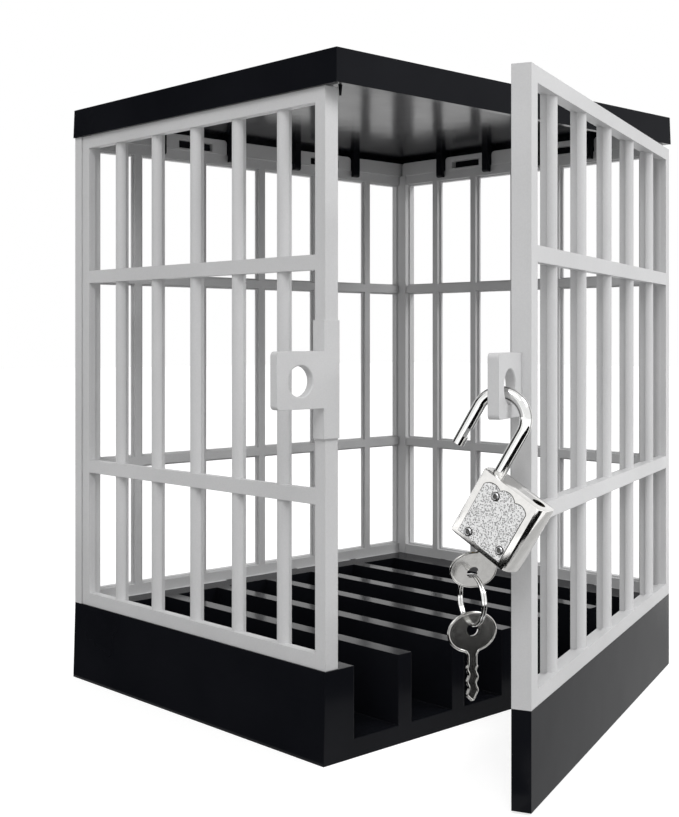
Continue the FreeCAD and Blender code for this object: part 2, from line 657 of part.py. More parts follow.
def case_block(y_from, thick, shrink, low, high):
    return box(("%s + %s" % (CASE_LEFT, shrink), y_from, low),
               ("case_wide - 2 * (%s)" % shrink, thick, "%s - (%s)" % (high, low)))


def lock_case():
    outer = round_edges(case_block("-" + INNER_Y, "2 * " + INNER_Y, "0", CASE_FOOT, CASE_TOP),
                        "case_round", lambda a, b: abs(a.x - b.x) < 0.01 and abs(a.y - b.y) < 0.01)
    low, high = CASE_FOOT + " + case_wall", CASE_TOP + " - case_wall"
    hollow = fuse([case_block("-%s - 1" % INNER_Y, "2 * %s + 2" % INNER_Y, "lip_inset", low, high),
                   case_block("-pocket_half", "2 * pocket_half", "case_wall", low, high)])
    play = "(rod_radius + pin_play)"
    holes = [rod((where, "0", CASE_TOP + " - case_wall - 1"), play, "case_wall + 2")
             for where in ("leg_half_gap", SOCKET_X)]
    mouth = rod((PLUG_X, "0", CASE_FOOT + " - 1"), "barrel_radius", "case_wall + 2")
    case_piece("lock_case", cut(outer, [hollow] + holes + [mouth]))


RIVETS = (("(leg_half_gap + 4.0)", "(-long_leg_out - 3.6)"),
          ("(leg_half_gap + 2.4)", "(-long_leg_out - 14.1)"),
          ("(leg_half_gap + 11.3)", "(-long_leg_out - 13.0)"))


def face_plate(label, front):
    # A flat plate with a slightly raised panel whose top edge runs in three scallops.
    outer = "(case_thick / 2)"
    start = "-" + outer if front else INNER_Y
    foot, top = "(%s + plate_short)" % CASE_FOOT, "(%s - plate_short)" % CASE_TOP
    plate = round_edges(case_block(start, "plate_thick", "plate_inset", foot, top), "plate_corner",
                        lambda a, b: abs(a.x - b.x) < 0.01 and abs(a.z - b.z) < 0.01)
    skin = "-%s - plate_raise" % outer if front else outer
    margin = "(plate_inset + plate_margin)"
    raised = [case_block(skin, "plate_raise", margin, "(%s + plate_margin)" % foot, "(%s - 4.2)" % top)]
    lobes = ((margin + " + 3.2", "-4.2", "3.2"), ("case_wide / 2", "-3.5", "2.8"),
             ("case_wide - %s - 3.2" % margin, "-4.2", "3.2"))
    for across, down, radius in lobes:
        raised.append(rod(("%s + %s" % (CASE_LEFT, across), skin, "%s + %s" % (top, down)),
                          radius, "plate_raise", VEC(0, 1, 0)))
    holes = [rod((x, "-case_thick", z), "rivet_radius", "2 * case_thick", VEC(0, 1, 0))
             for x, z in RIVETS]
    case_piece(label, cut(fuse([plate] + raised), holes))


def case_rivets():
    # Three hollow rivets that hold the two plates on the case.
    shapes = []
    face = "(case_thick / 2 + plate_raise)"
    for x, z in RIVETS:
        shank = rod((x, "-%s - rivet_proud" % face, z), "rivet_radius", "2 * (%s + rivet_proud)" % face,
                    VEC(0, 1, 0))
        front = rod((x, "-%s - rivet_proud" % face, z), "rivet_head", "rivet_proud", VEC(0, 1, 0))
        back = rod((x, face, z), "rivet_head", "rivet_proud", VEC(0, 1, 0))
        dimple = rod((x, "-%s - rivet_proud - 1" % face, z), "rivet_radius / 2", "rivet_proud + 1.3",
                     VEC(0, 1, 0))
        shapes.append(cut(fuse([shank, front, back]), [dimple]))
    group = DOC.addObject("Part::Compound", "rivets")
    group.Links = shapes
    case_piece("case_rivets", group)


GUIDE_X = "(leg_half_gap + clip_radius + pin_play + guide_wall)"


def leg_guide():
    # The open tube inside the case that the long leg and its clip run in.
    foot = "(%s - case_wall - long_leg_in - 2.6)" % CASE_TOP
    tall = "(%s - case_wall - %s)" % (CASE_TOP, foot)
    tube = bore_ring(("leg_half_gap", "0", foot), "clip_radius + pin_play + guide_wall",
                     "clip_radius + pin_play", tall)
    side = box((CASE_LEFT, "-case_thick / 2", foot + " - 1"),
               ("case_wall + 2 * pin_play + 0.4", "case_thick", tall + " + 2"))
    case_piece("leg_guide", cut(tube, [side]))


def coil(turns, radius, length, wire):
    # One unbroken round wire, wound with an even pitch along +Z from its own origin.
    path = Part.makeHelix(length / turns, length, radius)
    start = path.Vertexes[0].Point
    tangent = path.Edges[0].tangentAt(path.Edges[0].FirstParameter)
    section = Part.Wire([Part.makeCircle(wire, start, tangent)])
    print("coil gap %.2f" % (length / turns - 2 * wire))
    return Part.Wire(path.Edges).makePipeShell([section], True, False)


def spring_piece(label, shape, local):
    spring = DOC.addObject("Part::Feature", "spring")
    spring.Shape = shape
    piece(label, spring, case_pose().multiply(local))


def springs():
    # One pushes the shackle up out of the case, the other pushes the latch bolt out.
    wire = size("spring_wire")
    heel = -size("long_leg_out") - size("long_leg_in")
    floor = value(CASE_FOOT) + size("case_wall")
    reach = heel - floor - 2 * wire - 2 * size("clip_play")
    foot = VEC(size("leg_half_gap"), 0, floor + wire + size("clip_play"))
    spring_piece("shackle_spring", coil(int(size("spring_turns")), size("groove_radius"), reach, wire),
                 PLACE(foot, ROT()))
    thin = size("latch_wire")
    start = value(GUIDE_X) + thin + size("clip_play")
    reach = value(BOLT_BACK) + size("bolt_pocket") - start - thin - size("clip_play")
    foot = VEC(start, -size("bolt_pocket_off"), value(BOLT_Z) + size("bolt_tall") / 2)
    spring_piece("latch_spring", coil(int(size("latch_turns")), size("latch_coil"), reach, thin),
                 PLACE(foot, ROT(UP, VEC(1, 0, 0))))


BOLT_Z = "(-long_leg_out - case_wall - bolt_drop - bolt_tall)"
BOLT_BACK = "(leg_half_gap + bolt_tail)"
BOLT_NOSE = "(%s - rod_radius - bolt_back_off)" % SOCKET_X
PLUG_TOP = "(%s + barrel_tall + plug_rise)" % CASE_FOOT


def tang_place():
    # The tang's middle beside the plug's axis with the key turned, and its throw to the locked side.
    start = math.radians(-10.0)
    return size("tang_throw") * math.sin(start), size("tang_throw") * math.cos(start)


def latch_bolt():
    across, along = tang_place()
    bolt = box((BOLT_BACK, "-bolt_wide / 2", BOLT_Z), ("%s - %s" % (BOLT_NOSE, BOLT_BACK),
                                                     "bolt_wide", "bolt_tall"))
    slot = box(("%s + %.4f - tang_radius - 0.15" % (PLUG_X, across), "%.4f - 1.4" % along,
                BOLT_Z + " - 1"), ("2 * tang_radius + 0.3", "3", "bolt_tall + 2"))
    pocket = rod((BOLT_BACK + " - 1", "-bolt_pocket_off", BOLT_Z + " + bolt_tall / 2"),
                 "bolt_pocket_radius", "bolt_pocket + 1", VEC(1, 0, 0))
    case_piece("latch_bolt", cut(bolt, [slot, pocket]))


def plug_barrel():
    tube = bore_ring((PLUG_X, "0", CASE_FOOT), "barrel_radius", "plug_radius + pin_play", "barrel_tall")
    case_piece("plug_barrel", tube)


def turned(obj):
    # What turns with the key stands at the unlocked angle about the plug's axis.
    holder = DOC.addObject("Part::Compound", "held")
    holder.Links = [obj]
    holder.Placement = PLACE(VEC(), ROT(UP, size("unlock_angle")))
    return seat(holder, (PLUG_X, "0", CASE_FOOT))


def wafer_feet():
    return ["(wafer_first + %d * wafer_pitch)" % number for number in range(int(size("wafer_count")))]


def lock_plug():
    across, along = tang_place()
    body = rod(("0", "0", "0"), "plug_radius", "barrel_tall + plug_rise")
    tools = [box(("-blade_wide / 2 - keyway_play", "-key_thick / 2 - keyway_play", "-1"),
                 ("blade_wide + 2 * keyway_play", "key_thick + 2 * keyway_play",
                  "blade_long + 1.4"))]
    for foot in wafer_feet():
        tools.append(box(("-wafer_tall / 2 - wafer_play", "-wafer_wide / 2 - wafer_play",
                          foot + " - wafer_play"),
                         ("wafer_tall + 2 * wafer_play", "wafer_wide + 2 * wafer_play",
                          "wafer_thick + 2 * wafer_play")))
    groove = cut(rod(("0", "0", "barrel_tall + 0.15"), "plug_radius + 1", "0.5"),
                 [rod(("0", "0", "barrel_tall"), "plug_radius - 0.3", "1")])
    body = cut(body, tools + [groove])
    lock = fuse([turned(body), rod(("%s + %.4f" % (PLUG_X, across), "%.4f" % along, PLUG_TOP + " - 0.2"),
                                   "tang_radius", "%s + bolt_tall - 0.2 - %s + 0.2"
                                   % (BOLT_Z, PLUG_TOP))])
    case_piece("lock_plug", lock)


def plug_clip():
    ring = bore_ring((PLUG_X, "0", CASE_FOOT + " + barrel_tall + 0.2"), "barrel_radius - 0.1",
                     "plug_radius - 0.25", "0.4")
    mouth = box((PLUG_X + " - 0.9", "-5", CASE_FOOT + " + barrel_tall"), ("1.8", "5", "1"))
    case_piece("plug_clip", cut(ring, [mouth]))


def lock_wafers():
    shapes = []
    for foot in wafer_feet():
        leaf = box(("-wafer_tall / 2", "-wafer_wide / 2", foot), ("wafer_tall", "wafer_wide",
                                                                "wafer_thick"))
        window = box(("-blade_wide / 2 - keyway_play / 2", "-key_thick / 2 - keyway_play / 2",
                      foot + " - 1"), ("blade_wide + keyway_play", "key_thick + keyway_play", "3"))
        shapes.append(turned(cut(leaf, [window])))
    group = DOC.addObject("Part::Compound", "wafers")
    group.Links = shapes
    case_piece("lock_wafers", group)


def key_solid():
    # Key drawn with its blade up along +Z from the shoulder at the origin, its width along x.
    bow = DOC.addObject("Part::Ellipse", "bow_line")
    bow.Placement = PLACE(VEC(), ROT(VEC(1, 0, 0), 90))
    bind(bow, "MajorRadius", "bow_half_wide")
    bind(bow, "MinorRadius", "bow_half_tall")
    seat(bow, ("0", "key_thick / 2", "-bow_drop - bow_half_tall"))
    plate = DOC.addObject("Part::Extrusion", "bow")
    plate.Base = bow
    plate.DirMode = "Custom"
    plate.Dir = VEC(0, -1, 0)
    plate.Solid = True
    bind(plate, "LengthFwd", "key_thick")
    neck = box(("-2", "-key_thick / 2", "-bow_drop - 1.5"), ("4", "key_thick", "bow_drop + 1"))
    blade = box(("-blade_wide / 2", "-key_thick / 2", "-1"), ("blade_wide", "key_thick",
                                                            "blade_long + 1"))
    cuts = []
    for side, marks in ((-1, (2.6, 5.2, 8.0)), (1, (3.9, 6.6, 9.0))):
        for mark in marks:
            cuts.append(rod(("%d * (blade_wide / 2 + 0.55)" % side, "-key_thick", str(mark)), "0.95",
                            "2 * key_thick", VEC(0, 1, 0)))
        cuts.append(box(("%d * blade_wide / 2 - 1" % side, "-key_thick", "blade_long - 0.6"),
                        ("2", "2 * key_thick", "2")))
        cuts[-1].Placement = PLACE(VEC(), ROT(VEC(0, 1, 0), -45 * side))
        seat(cuts[-1], ("%d * blade_wide / 2 %s" % (side, "- 1.4" if side < 0 else "- 0.0"),
                        "-key_thick", "blade_long - %s" % ("0.2" if side < 0 else "1.6")))
    hole = rod(("0", "-key_thick", "-bow_drop - bow_half_tall + bow_hole_up"), "bow_hole",
               "2 * key_thick", VEC(0, 1, 0))
    return cut(fuse([plate, neck, blade]), cuts + [hole])


KEY_GAP = 0.3


def key_pose():
    # The key in the lock: blade in the plug, turned to the unlocked side.
    foot = VEC(value(PLUG_X), 0, value(CASE_FOOT) - KEY_GAP)
    return case_pose().multiply(PLACE(foot, ROT(UP, size("unlock_angle"))))


def key_in_lock():
    piece("key_in_lock", key_solid(), key_pose())


def ring_nest(lean):
    # How far the pair of ring wires lies from the middle of a key's hole, on a key that leans.
    side = size("ring_step") / 2
    reach = size("bow_hole") - size("ring_wire") / math.cos(lean)
    bite = size("key_thick") * 0.62 * math.tan(lean)
    return math.sqrt(reach * reach - side * side) - bite - size("clip_play")


def ring_frame():
    # Middle of the key's hole, the level way in which the ring passes it, and the key's lean.
    pose = key_pose()
    hole = pose.multVec(VEC(0, 0, -size("bow_drop") - size("bow_half_tall") + size("bow_hole_up")))
    normal = pose.Rotation.multVec(VEC(0, 1, 0))
    level = VEC(normal.x, normal.y, 0).normalize()
    return hole, level, abs(math.asin(normal.z))


def key_ring():
    hole, level, lean = ring_frame()
    across = level.cross(UP)
    middle = hole - UP * (ring_nest(lean) + size("ring_radius"))
    loops = []
    for side in (-1, 1):
        loop = DOC.addObject("Part::Torus", "loop")
        bind(loop, "Radius1", "ring_radius")
        bind(loop, "Radius2", "ring_wire")
        bind(loop, "Placement.Base.z", "%d * ring_step / 2" % side)
        loops.append(loop)
    piece("key_ring", fuse(loops), PLACE(middle, ROT(UP, across)))


def key_spare():
    hole, level, lean = ring_frame()
    spot = hole - UP * (ring_nest(lean) + ring_nest(0) + 2 * size("ring_radius"))
    across = level.cross(UP)
    turn = ROT(across * -1, level, UP * -1, "ZXY")
    drop = size("bow_drop") + size("bow_half_tall") - size("bow_hole_up")
    piece("key_spare", key_solid(), PLACE(spot - UP * drop, turn))


def check_and_write():
    DOC.recompute()
    for obj in DOC.Objects:
        if "Invalid" in obj.State or "Error" in obj.State:
            raise RuntimeError("failed: %s %s %s" % (obj.Name, obj.Label, obj.State))
    os.makedirs("parts", exist_ok=True)
    for obj in PARTS:
        if obj.Shape.isNull() or not obj.Shape.isValid():
            raise RuntimeError("bad shape: " + obj.Label)
        print(obj.Label, len(obj.Shape.Solids), round(obj.Shape.Volume, 2))
        obj.Shape.exportStep("parts/%s.step" % obj.Label)


base_tray()
roof_lid()
left_panel()
right_panel()
back_panel()
door_grille()
door_skirt()
hinge_pins()
shackle()
heel_clip()
lock_case()
face_plate("face_plate_front", True)
face_plate("face_plate_back", False)
case_rivets()
leg_guide()
springs()
latch_bolt()
plug_barrel()
lock_plug()
plug_clip()
lock_wafers()
key_in_lock()
key_ring()
key_spare()
check_and_write()
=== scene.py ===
import json
import math
import bmesh
import bpy
from mathutils import Matrix, Vector


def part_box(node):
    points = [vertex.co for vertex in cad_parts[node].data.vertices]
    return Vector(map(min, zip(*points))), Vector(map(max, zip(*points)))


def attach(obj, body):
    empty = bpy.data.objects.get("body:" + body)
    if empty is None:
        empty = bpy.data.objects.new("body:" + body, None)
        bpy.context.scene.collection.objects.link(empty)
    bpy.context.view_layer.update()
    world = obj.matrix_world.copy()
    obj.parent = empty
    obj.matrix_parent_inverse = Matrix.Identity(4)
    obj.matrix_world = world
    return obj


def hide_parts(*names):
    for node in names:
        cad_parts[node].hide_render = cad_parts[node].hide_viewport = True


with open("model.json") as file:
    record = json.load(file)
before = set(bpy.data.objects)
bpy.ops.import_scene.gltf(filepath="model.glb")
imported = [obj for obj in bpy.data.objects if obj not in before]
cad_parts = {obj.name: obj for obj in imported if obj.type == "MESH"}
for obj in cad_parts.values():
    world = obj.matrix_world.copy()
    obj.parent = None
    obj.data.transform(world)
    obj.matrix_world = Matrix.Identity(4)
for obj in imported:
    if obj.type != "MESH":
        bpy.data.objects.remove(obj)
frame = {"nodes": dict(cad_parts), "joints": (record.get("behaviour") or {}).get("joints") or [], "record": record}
NODES = frame["nodes"]
JOINTS = {joint["name"]: joint for joint in frame["joints"]}
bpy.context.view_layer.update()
MM = 0.001

# Camera, fitted to the corners of the cage
CAMERA_PLACE = (-0.29057, -0.30961, 0.11035)
CAMERA_TURN = math.radians(44.71)
FOCAL_PX = 1277.86
FRAME_PX = (679, 817)
PRINCIPAL_PX = (410.75, 339.01)


def set_camera():
    data = bpy.data.cameras.new("view")
    data.sensor_fit = "VERTICAL"
    data.sensor_height = 36.0
    data.lens = 36.0 * FOCAL_PX / FRAME_PX[1]
    data.shift_x = (FRAME_PX[0] / 2 - PRINCIPAL_PX[0]) / FRAME_PX[1]
    data.shift_y = (PRINCIPAL_PX[1] - FRAME_PX[1] / 2) / FRAME_PX[1]
    data.clip_start = 0.01
    camera = bpy.data.objects.new("view", data)
    camera.location = CAMERA_PLACE
    camera.rotation_euler = (math.pi / 2, 0, -CAMERA_TURN)
    bpy.context.scene.collection.objects.link(camera)
    bpy.context.scene.camera = camera


# Places of the padlock and of its keys, read from the joints
def joint_place(name):
    return Vector(JOINTS[name]["pos_m"])


def joint_axis(name):
    return Vector(JOINTS[name]["axis"]).normalized()


def place_of(origin, x_way, y_way, z_way):
    turn = Matrix((x_way, y_way, z_way)).transposed().to_4x4()
    return Matrix.Translation(origin) @ turn


LOCK_X = joint_axis("latch_slide")
LOCK_UP = joint_axis("case_slide")
LOCK_Y = LOCK_UP.cross(LOCK_X)
# The case's own frame starts on the axis of the long leg
LOCK = place_of(joint_place("case_turn"), LOCK_X, LOCK_Y, LOCK_UP)
TO_BOW = joint_place("shackle_swing") - joint_place("case_turn")
LEG_SPAN = 2 * (TO_BOW - LOCK_UP * TO_BOW.dot(LOCK_UP)).length / MM
SKY = Vector((0, 0, 1))


def local_box(node, place):
    # Lowest and highest corner of a CAD node, in millimetres of a turned frame.
    back = place.inverted()
    points = [back @ v.co for v in NODES[node].data.vertices]
    return ([min(p[n] for p in points) / MM for n in range(3)],
            [max(p[n] for p in points) / MM for n in range(3)])


# Materials
class Nodes:
    # A short way to make and join the nodes of one material.
    def __init__(self, name):
        self.material = bpy.data.materials.new(name)
        self.material.use_nodes = True
        self.tree = self.material.node_tree
        self.shader = self.tree.nodes["Principled BSDF"]
        self.coords = self.add("ShaderNodeTexCoord")

    def add(self, kind, inputs=None, **settings):
        node = self.tree.nodes.new(kind)
        for key, value in settings.items():
            setattr(node, key, value)
        for key, value in (inputs or {}).items():
            self.put(node, key, value)
        return node

    def put(self, node, key, value):
        if isinstance(value, bpy.types.NodeSocket):
            self.tree.links.new(value, node.inputs[key])
        else:
            node.inputs[key].default_value = value

    def noise(self, scale, detail=2.0):
        return self.add("ShaderNodeTexNoise", {"Vector": self.coords.outputs["Object"], "Scale": scale,
                                               "Detail": detail}).outputs["Fac"]

    def ramp(self, source, stops):
        node = self.add("ShaderNodeValToRGB", {"Fac": source})
        elements = node.color_ramp.elements
        while len(elements) < len(stops):
            elements.new(0.5)
        for element, (place, color) in zip(elements, stops):
            element.position = place
            element.color = (*color, 1)
        return node.outputs["Color"]

    def bump(self, height, strength, distance, normal=None):
        node = self.add("ShaderNodeBump", {"Height": height, "Strength": strength, "Distance": distance})
        if normal is not None:
            self.put(node, "Normal", normal)
        return node.outputs["Normal"]

    def finish(self, **inputs):
        for key, value in inputs.items():
            self.put(self.shader, key.replace("_", " "), value)
        return self.material


def shade(value):
    return (value, value, value)


def grey_plastic():
    made = Nodes("grey_plastic")
    drift = made.ramp(made.noise(22, 3), ((0.35, (0.60, 0.60, 0.605)), (0.65, (0.65, 0.65, 0.655))))
    fleck = made.ramp(made.noise(2600, 1), ((0.3, shade(0.93)), (0.7, shade(1.0))))
    color = made.add("ShaderNodeMix", {"Factor": 0.6, "A": drift, "B": fleck}, data_type="RGBA",
                     blend_type="MULTIPLY")
    rough = made.add("ShaderNodeMapRange", {"Value": made.noise(60, 4), "To Min": 0.36, "To Max": 0.5})
    soft = made.add("ShaderNodeBevel", {"Radius": 0.25 * MM}, samples=4)
    grain = made.bump(made.noise(900, 3), 0.12, 0.2 * MM, soft.outputs["Normal"])
    return made.finish(Base_Color=color.outputs["Result"], Roughness=rough.outputs["Result"], Normal=grain,
                       Specular_IOR_Level=0.5)


def black_plastic():
    made = Nodes("black_plastic")
    color = made.ramp(made.noise(30, 4), ((0.3, (0.0055, 0.006, 0.008)), (0.7, (0.0085, 0.009, 0.0115))))
    rough = made.add("ShaderNodeMapRange", {"Value": made.noise(45, 5), "To Min": 0.1, "To Max": 0.24})
    soft = made.add("ShaderNodeBevel", {"Radius": 0.3 * MM}, samples=4)
    wave = made.bump(made.noise(55, 2), 0.08, 1.2 * MM, soft.outputs["Normal"])
    return made.finish(Base_Color=color, Roughness=rough.outputs["Result"], Normal=wave,
                       Specular_IOR_Level=0.06)


def metal(name, light, dark, rough, scratch=0.05, reflection_share=0.7, reflection_stops=(0.28, 0.42, 0.55, 0.68)):
    # Plated metal whose colour carries a painted reflection: a darker second tone, laid in bands by the angle of
    # view, stands in for what polished metal reflects in a studio.
    made = Nodes(name)
    facing = made.add("ShaderNodeLayerWeight", {"Blend": 0.5}).outputs["Facing"]
    # Painted reflection: the dark tone between the stops is reflected surroundings, painted into the colour
    painted_reflection_bands = made.ramp(facing, ((reflection_stops[0], light), (reflection_stops[1], dark), (reflection_stops[2], dark), (reflection_stops[3], light)))
    mottle = made.ramp(made.noise(700, 4), ((0.3, shade(0.86)), (0.7, shade(1.0))))
    plain = made.add("ShaderNodeMix", {"Factor": reflection_share, "A": (*light, 1), "B": painted_reflection_bands}, data_type="RGBA")
    color = made.add("ShaderNodeMix", {"Factor": 0.7, "A": plain.outputs["Result"], "B": mottle},
                     data_type="RGBA", blend_type="MULTIPLY")
    spread = made.add("ShaderNodeMapRange", {"Value": made.noise(900, 3), "To Min": rough * 0.7,
                                             "To Max": rough * 1.5})
    stretch = made.add("ShaderNodeMapping", {"Vector": made.coords.outputs["Object"],
                                             "Scale": (3000, 300, 300)})
    lines = made.add("ShaderNodeTexNoise", {"Vector": stretch.outputs["Vector"], "Scale": 1.0})
    return made.finish(Base_Color=color.outputs["Result"], Roughness=spread.outputs["Result"], Metallic=1.0,
                       Normal=made.bump(lines.outputs["Fac"], scratch, 0.02 * MM))


def stippled_nickel():
    made = Nodes("stippled_nickel")
    pits = made.add("ShaderNodeTexVoronoi", {"Vector": made.coords.outputs["Object"], "Scale": 2500.0})
    # Painted shade: the dark middles of the cells stand in for the shade in the stipple's small pits
    tone = made.ramp(pits.outputs["Distance"], ((0.2, shade(0.2)), (0.38, shade(0.5)), (0.52, shade(0.86))))
    return made.finish(Base_Color=tone, Roughness=0.38, Metallic=1.0,
                       Normal=made.bump(made.noise(2600, 2), 0.3, 0.06 * MM))


def brass():
    made = Nodes("turned_brass")
    color = made.ramp(made.noise(300, 3), ((0.3, (0.66, 0.47, 0.2)), (0.7, (0.76, 0.57, 0.28))))
    stretch = made.add("ShaderNodeMapping", {"Vector": made.coords.outputs["Object"],
                                             "Scale": (400, 400, 5000)})
    rings = made.add("ShaderNodeTexNoise", {"Vector": stretch.outputs["Vector"], "Scale": 1.0})
    return made.finish(Base_Color=color, Roughness=0.28, Metallic=1.0,
                       Normal=made.bump(rings.outputs["Fac"], 0.15, 0.03 * MM))


FINISHES = {
    "grey_plastic": grey_plastic(),
    "black_plastic": black_plastic(),
    # In each metal the second tone is a painted reflection, mixed in by the angle of view
    "steel": metal("spring_steel", (0.55, 0.55, 0.56), (0.2, 0.2, 0.2), 0.25),
    "chrome": metal("bright_chrome", (0.86, 0.86, 0.85), (0.035, 0.035, 0.035), 0.07),
    "nickel": metal("bright_nickel", (0.88, 0.87, 0.85), (0.3, 0.3, 0.29), 0.12, reflection_share=0.2),
    "plug_nickel": metal("plug_nickel", (0.7, 0.69, 0.66), (0.2, 0.2, 0.19), 0.22),
    # The key's bands paint a dark middle and light edges on its rim: a painted reflection
    "key_nickel": metal("key_nickel", (0.78, 0.77, 0.75), (0.2, 0.2, 0.19), 0.16, reflection_share=0.75,
                        reflection_stops=(-0.2, 0.0, 0.17, 0.25)),
    "brass": brass(),
}
STIPPLED = stippled_nickel()
# A dark nickel used only for the painted shade round the raised panel and the rivets
SHADE_NICKEL = metal("painted_shade_nickel", (0.1, 0.1, 0.095), (0.03, 0.03, 0.03), 0.35)


def paint_nodes():
    for sub in frame["record"]["subparts"]:
        node = NODES[sub["node"]]
        node.data.materials.clear()
        node.data.materials.append(FINISHES[sub["material_slot"]])


# Pieces in mesh code
def new_piece(name, mesh, body, material, stands_for=()):
    piece = bpy.data.objects.new(name, mesh)
    bpy.context.scene.collection.objects.link(piece)
    if not mesh.materials:
        mesh.materials.append(material)
    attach(piece, body)
    if stands_for:
        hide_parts(*stands_for)
    return piece


def mesh_from(name, shape, place, smooth_angle=30):
    # A mesh drawn in millimetres of a turned frame becomes one in the row frame.
    bmesh.ops.remove_doubles(shape, verts=shape.verts, dist=1e-4)
    bmesh.ops.recalc_face_normals(shape, faces=shape.faces)
    shape.transform(place @ Matrix.Scale(MM, 4))
    mesh = bpy.data.meshes.new(name)
    shape.to_mesh(mesh)
    shape.free()
    mesh.shade_smooth()
    mesh.set_sharp_from_angle(angle=math.radians(smooth_angle))
    return mesh


def skin(shape, loops, closed_ends=True):
    # Walls between loops of equal length, with faces over both ends.
    rings = [[shape.verts.new(point) for point in loop] for loop in loops]
    count = len(rings[0])
    for low, high in zip(rings, rings[1:]):
        for n in range(count):
            shape.faces.new((low[n], low[(n + 1) % count], high[(n + 1) % count], high[n]))
    if closed_ends:
        shape.faces.new(rings[0][::-1])
        shape.faces.new(rings[-1])


def inset_line(points, distance):
    moved = []
    count = len(points)
    for n, (x, z) in enumerate(points):
        (ax, az), (bx, bz) = points[n - 1], points[(n + 1) % count]
        way = Vector((bx - ax, bz - az))
        if way.length < 1e-6:
            continue
        way.normalize()
        moved.append((x - way.y * distance, z + way.x * distance))
    return moved


def plain_copy(obj):
    # The object with its modifiers made into a plain mesh.
    bpy.context.view_layer.update()
    depsgraph = bpy.context.evaluated_depsgraph_get()
    return bpy.data.meshes.new_from_object(obj.evaluated_get(depsgraph))


# The padlock's case
CASE_LOW, CASE_HIGH = local_box("lock_case", LOCK)
PLATE_LOW, PLATE_HIGH = local_box("face_plate_front", LOCK)
PLUG = LOCK.inverted() @ joint_place("plug_turn") / MM
PANEL_RAISE = 0.25
CASE_HALF = -PLATE_LOW[1] - PANEL_RAISE
ROD_RADIUS = 1.45
EDGE_ROUND = 0.3
GROOVE = 0.14
SIDE_STEPS = 14


def case_section(shrink, bulge_shrink=0.0):
    # Flat faces front and back, and long sides that bulge past them. A groove marks the front cover.
    flat_left, flat_right = PLATE_LOW[0] + shrink, PLATE_HIGH[0] - shrink
    bulge = PLATE_LOW[0] - CASE_LOW[0] - bulge_shrink
    half = CASE_HALF - shrink
    points = []
    for side, flat in ((1, flat_right), (-1, flat_left)):
        for step in range(SIDE_STEPS + 1):
            turn = -math.pi / 2 + math.pi * step / SIDE_STEPS
            out = bulge * max(0.0, math.cos(turn)) ** 0.6
            if step in (2, SIDE_STEPS - 2):
                out -= GROOVE
            points.append((flat + side * out, side * half * math.sin(turn)))
    return points


def case_block(shrink):
    shape = bmesh.new()
    low, high = CASE_LOW[2] + shrink, CASE_HIGH[2] - shrink
    levels = ((low, EDGE_ROUND), (low + 0.09, 0.09), (low + EDGE_ROUND, 0.0),
              (high - EDGE_ROUND, 0.0), (high - 0.09, 0.09), (high, EDGE_ROUND))
    skin(shape, [[(x, y, z) for x, y in case_section(shrink + inset)] for z, inset in levels])
    return shape


def temporary(name, shape):
    obj = bpy.data.objects.new(name, mesh_from(name, shape, Matrix.Identity(4)))
    bpy.context.scene.collection.objects.link(obj)
    return obj


def bore(x, radius, low, high):
    shape = bmesh.new()
    turns = [2 * math.pi * n / 48 for n in range(48)]
    skin(shape, [[(x + radius * math.cos(t), radius * math.sin(t), z) for t in turns] for z in (low, high)])
    return shape


WALL = 0.8
BARREL_RADIUS = 3.0


def case_shell():
    body = temporary("case_solid", case_block(0.0))
    top, foot = CASE_HIGH[2], CASE_LOW[2]
    tools = [temporary("case_room", case_block(WALL)),
             temporary("leg_bore", bore(0.0, ROD_RADIUS + 0.06, top - WALL - 1, top + 1)),
             temporary("free_leg_bore", bore(LEG_SPAN, ROD_RADIUS + 0.12, top - WALL - 1, top + 1)),
             temporary("plug_bore", bore(PLUG.x, BARREL_RADIUS, foot - 1, foot + WALL + 1))]
    for tool in tools:
        cutter = body.modifiers.new("cut", "BOOLEAN")
        cutter.operation = "DIFFERENCE"
        cutter.solver = "EXACT"
        cutter.object = tool
    mesh = plain_copy(body)
    for obj in tools + [body]:
        bpy.data.objects.remove(obj)
    mesh.transform(LOCK)
    mesh.shade_smooth()
    mesh.set_sharp_from_angle(angle=math.radians(32))
    new_piece("case_shell", mesh, "lock_body", FINISHES["nickel"],
              ("lock_case", "face_plate_front", "face_plate_back"))


# The raised stippled panel of each face
PANEL_MARGIN = 0.75
LOBES = ((0.2, 1.15, 3.1), (0.52, 0.75, 2.9), (0.83, 1.45, 2.7))


def panel_outline():
    left, right = PLATE_LOW[0] + PANEL_MARGIN, PLATE_HIGH[0] - PANEL_MARGIN
    foot, top = PLATE_LOW[2] + PANEL_MARGIN, PLATE_HIGH[2]
    wide = right - left
    points = [(left, foot), (right, foot)]
    for step in range(61):
        x = right - wide * step / 60
        heights = [top - 5.2]
        for across, down, radius in LOBES:
            reach = radius * radius - (x - left - across * wide) ** 2
            if reach > 0:
                heights.append(top - down - radius + math.sqrt(reach))
        points.append((x, max(heights)))
    return points


